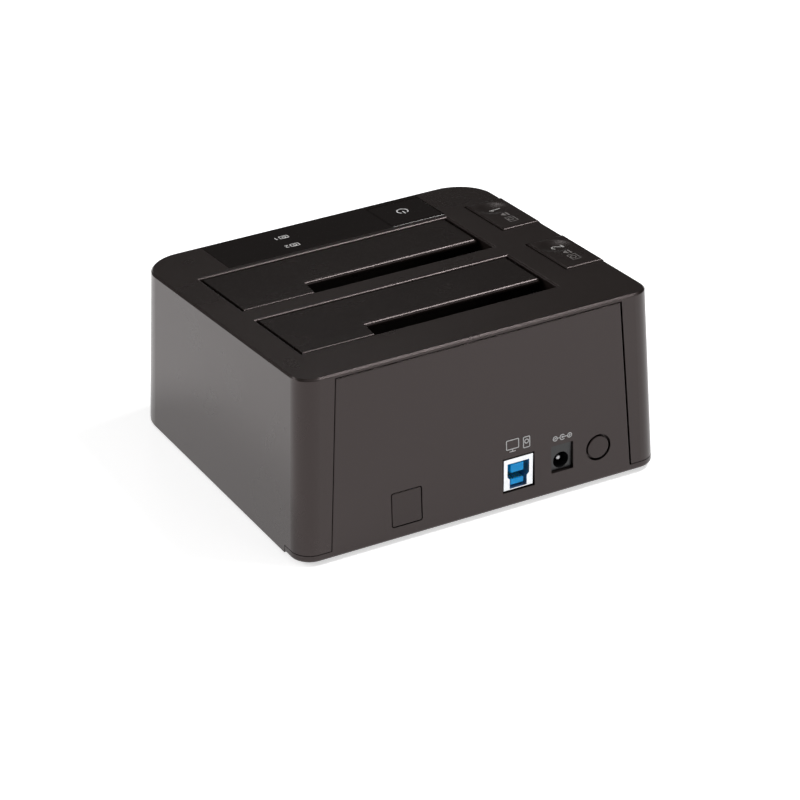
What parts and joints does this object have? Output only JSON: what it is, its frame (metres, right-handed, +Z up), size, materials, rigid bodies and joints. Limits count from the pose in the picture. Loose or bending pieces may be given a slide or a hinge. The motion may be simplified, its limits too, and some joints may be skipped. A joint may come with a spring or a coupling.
{
  "type": "hard drive docking station",
  "caption": "Upright docking station with sprung flap doors over its drive bays, eject buttons beside them, a power key in a smoked strip, and data and power sockets at the rear.",
  "frame": {"origin": "middle of the footprint on the table", "axes": "+Z up, sockets at +Y, indicator strip at -Y, eject buttons at -X"},
  "size_m": [0.148, 0.1349, 0.0722],
  "materials": {
    "shell_plastic": "fine satin texture",
    "tray_plastic": "fine satin texture",
    "plug_plastic": "satin",
    "flap_plastic": "fine satin texture",
    "button_plastic": "fine satin texture",
    "cage_plastic": "moulded",
    "lever_plastic": "moulded",
    "strip_gloss": "smoked, polished",
    "key_gloss": "smoked, polished",
    "foot_rubber": "matt",
    "board_green": "solder mask",
    "screw_steel": "zinc plated",
    "pin_steel": "ground",
    "spring_steel": "drawn wire",
    "switch_body": "moulded",
    "switch_plunger": "moulded",
    "led_lens": "diffused",
    "chip_black": "moulded",
    "sink_aluminium": "extruded",
    "can_aluminium": "sleeved",
    "coil_grey": "ferrite",
    "socket_black": "moulded",
    "contact_gold": "gold plated",
    "usb_metal": "nickel plated",
    "usb_blue": "moulded",
    "jack_black": "moulded",
    "jack_pin": "nickel plated",
    "lead_grey": "ribbon",
    "socket_white": "moulded"
  },
  "bodies": {
    "case": {"top_shell": "shell_plastic", "base_tray": "tray_plastic", "feet": "foot_rubber", "square_blank": "plug_plastic", "round_blank": "plug_plastic", "lens_strip": "strip_gloss", "front_board": "board_green", "front_board_screws": "screw_steel", "tact_switch": "switch_body", "status_leds": "led_lens", "flap_pin_1": "pin_steel", "flap_pin_2": "pin_steel", "lever_pin_1": "pin_steel", "lever_pin_2": "pin_steel", "drive_cage": "cage_plastic", "case_screws": "screw_steel", "cage_screws": "screw_steel", "board_screws": "screw_steel", "main_board": "board_green", "bridge_chip": "chip_black", "heat_sink": "sink_aluminium", "capacitors": "can_aluminium", "coils": "coil_grey", "sata_socket_1": "socket_black", "sata_socket_2": "socket_black", "sata_contacts": "contact_gold", "usb_shell": "usb_metal", "usb_tongue": "usb_blue", "usb_contacts": "contact_gold", "dc_jack": "jack_black", "dc_pin": "jack_pin", "board_lead": "lead_grey", "lead_sockets": "socket_white"},
    "flap_1": {"flap_1": "flap_plastic", "flap_spring_1": "spring_steel"},
    "flap_2": {"flap_2": "flap_plastic", "flap_spring_2": "spring_steel"},
    "eject_button_1": {"eject_button_1": "button_plastic", "button_spring_1": "spring_steel"},
    "eject_button_2": {"eject_button_2": "button_plastic", "button_spring_2": "spring_steel"},
    "ejector_lever_1": {"ejector_lever_1": "lever_plastic"},
    "ejector_lever_2": {"ejector_lever_2": "lever_plastic"},
    "power_key": {"power_key": "key_gloss", "switch_plunger": "switch_plunger"}
  },
  "joints": [
    {"name": "flap_1_hinge", "type": "hinge", "parent": "case", "child": "flap_1", "pos_m": [0.00735, -0.03366, 0.06137], "axis": [-1, 0, 0], "range_deg": [0, 84], "stiffness_Nm_per_rad": 0.003, "springref_deg": -51.57},
    {"name": "flap_2_hinge", "type": "hinge", "parent": "case", "child": "flap_2", "pos_m": [0.00735, 0.01134, 0.06491], "axis": [-1, 0, 0], "range_deg": [0, 84], "stiffness_Nm_per_rad": 0.003, "springref_deg": -51.57},
    {"name": "eject_1_press", "type": "slide", "parent": "case", "child": "eject_button_1", "axis": [0, 0, -1], "range_m": [0, 0.003], "stiffness_N_per_m": 700, "springref_m": -0.002, "deforming": ["button_spring_1"]},
    {"name": "eject_2_press", "type": "slide", "parent": "case", "child": "eject_button_2", "axis": [0, 0, -1], "range_m": [0, 0.003], "stiffness_N_per_m": 700, "springref_m": -0.002, "deforming": ["button_spring_2"]},
    {"name": "lever_1_pivot", "type": "hinge", "parent": "case", "child": "ejector_lever_1", "pos_m": [-0.0525, -0.0123, 0.0215], "axis": [0, -1, 0], "range_deg": [0, 17.2]},
    {"name": "lever_2_pivot", "type": "hinge", "parent": "case", "child": "ejector_lever_2", "pos_m": [-0.0525, 0.0327, 0.0215], "axis": [0, -1, 0], "range_deg": [0, 17.2]},
    {"name": "power_press", "type": "slide", "parent": "case", "child": "power_key", "axis": [0, 0.0785, -0.9969], "range_m": [0, 0.0005], "stiffness_N_per_m": 1500, "springref_m": -0.0005}
  ],
  "couplings": [
    {"joint": "lever_1_pivot", "follows": "eject_1_press", "rad_per_m": 95.24},
    {"joint": "lever_2_pivot", "follows": "eject_2_press", "rad_per_m": 95.24}
  ]
}
